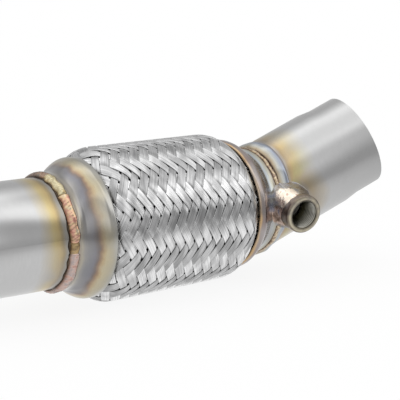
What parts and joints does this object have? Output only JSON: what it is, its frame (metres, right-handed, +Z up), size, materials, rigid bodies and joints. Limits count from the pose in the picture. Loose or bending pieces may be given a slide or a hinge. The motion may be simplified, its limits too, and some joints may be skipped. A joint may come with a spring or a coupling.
{
  "type": "exhaust downpipe",
  "caption": "Exhaust downpipe section with a bent inlet pipe, a braided flexible joint, a mitred outlet pipe with a slip end and a threaded sensor bung.",
  "frame": {"origin": "centre of the inlet pipe's cut end", "axes": "+X along the flexible joint from inlet to outlet, +Z up from the surface it lies on, +Y towards the inlet's bend"},
  "size_m": [0.3961, 0.157, 0.1078],
  "materials": {
    "pipe": "satin drawn stainless tube with straw and blue heat tint by the welds",
    "collar": "pressed stainless collar, heat tinted gold, brown and blue",
    "braid": "bright woven stainless wire",
    "weld": "rippled weld bead, copper pink to straw",
    "bung": "turned boss, straw and blue tint",
    "bellows": "bright formed stainless",
    "liner": "wound stainless strip",
    "inner_ring": "plain stainless ring"
  },
  "bodies": {
    "root": {"inlet_pipe": "pipe", "outlet_pipe": "pipe", "inlet_collar": "collar", "outlet_collar": "collar", "inlet_weld": "weld", "outlet_weld": "weld", "sensor_bung_weld": "weld", "sensor_bung": "bung", "outer_braid": "braid", "bellows": "bellows", "interlock_liner": "liner", "inlet_inner_ring": "inner_ring", "outlet_inner_ring": "inner_ring"}
  },
  "joints": []
}
